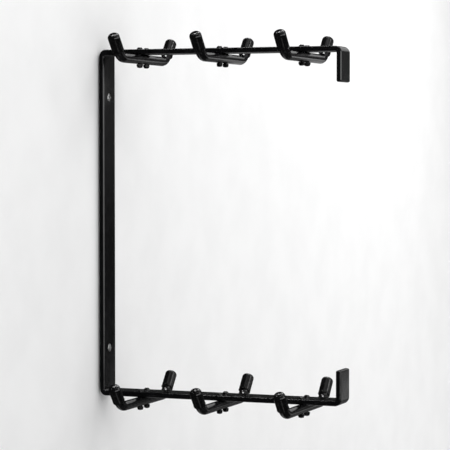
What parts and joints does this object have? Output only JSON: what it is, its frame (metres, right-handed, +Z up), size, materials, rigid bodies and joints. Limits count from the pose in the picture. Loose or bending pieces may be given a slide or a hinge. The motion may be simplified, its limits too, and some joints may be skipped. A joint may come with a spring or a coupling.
{
  "type": "wall storage rack",
  "caption": "Wall-mounted C-shaped flat bar rack with bolted round-tube cross hooks under both arms, upturned prongs in vinyl sleeves, and countersunk wall screws.",
  "frame": {"origin": "centre of the upright's flat back face, on the wall", "axes": "+Z up along the upright, +Y into the wall, +X across the bar; the arms reach along -Y"},
  "size_m": [0.3546, 0.647, 0.8627],
  "materials": {
    "frame_powder_coat": "black powder coat on mild steel, satin, fine orange peel",
    "hook_powder_coat": "black powder coat on steel tube, semi-gloss",
    "vinyl_sleeve": "black dip-moulded vinyl, smooth, soft gloss",
    "black_bolt": "black-finished steel M8 fasteners, semi-gloss",
    "nut_nylon": "black nylon",
    "zinc_screw": "bright zinc-plated steel"
  },
  "bodies": {
    "root": {"c_frame": "frame_powder_coat", "upper_wall_screw": "zinc_screw", "lower_wall_screw": "zinc_screw", "upper_hook_1_tube": "hook_powder_coat", "upper_hook_1_left_sleeve": "vinyl_sleeve", "upper_hook_1_right_sleeve": "vinyl_sleeve", "upper_hook_1_bolts": "black_bolt", "upper_hook_1_lock_nuts": "black_bolt", "upper_hook_1_nut_inserts": "nut_nylon", "upper_hook_2_tube": "hook_powder_coat", "upper_hook_2_left_sleeve": "vinyl_sleeve", "upper_hook_2_right_sleeve": "vinyl_sleeve", "upper_hook_2_bolts": "black_bolt", "upper_hook_2_lock_nuts": "black_bolt", "upper_hook_2_nut_inserts": "nut_nylon", "upper_hook_3_tube": "hook_powder_coat", "upper_hook_3_left_sleeve": "vinyl_sleeve", "upper_hook_3_right_sleeve": "vinyl_sleeve", "upper_hook_3_bolts": "black_bolt", "upper_hook_3_lock_nuts": "black_bolt", "upper_hook_3_nut_inserts": "nut_nylon", "lower_hook_1_tube": "hook_powder_coat", "lower_hook_1_left_sleeve": "vinyl_sleeve", "lower_hook_1_right_sleeve": "vinyl_sleeve", "lower_hook_1_bolts": "black_bolt", "lower_hook_1_lock_nuts": "black_bolt", "lower_hook_1_nut_inserts": "nut_nylon", "lower_hook_2_tube": "hook_powder_coat", "lower_hook_2_left_sleeve": "vinyl_sleeve", "lower_hook_2_right_sleeve": "vinyl_sleeve", "lower_hook_2_bolts": "black_bolt", "lower_hook_2_lock_nuts": "black_bolt", "lower_hook_2_nut_inserts": "nut_nylon", "lower_hook_3_tube": "hook_powder_coat", "lower_hook_3_left_sleeve": "vinyl_sleeve", "lower_hook_3_right_sleeve": "vinyl_sleeve", "lower_hook_3_bolts": "black_bolt", "lower_hook_3_lock_nuts": "black_bolt", "lower_hook_3_nut_inserts": "nut_nylon"}
  },
  "joints": []
}
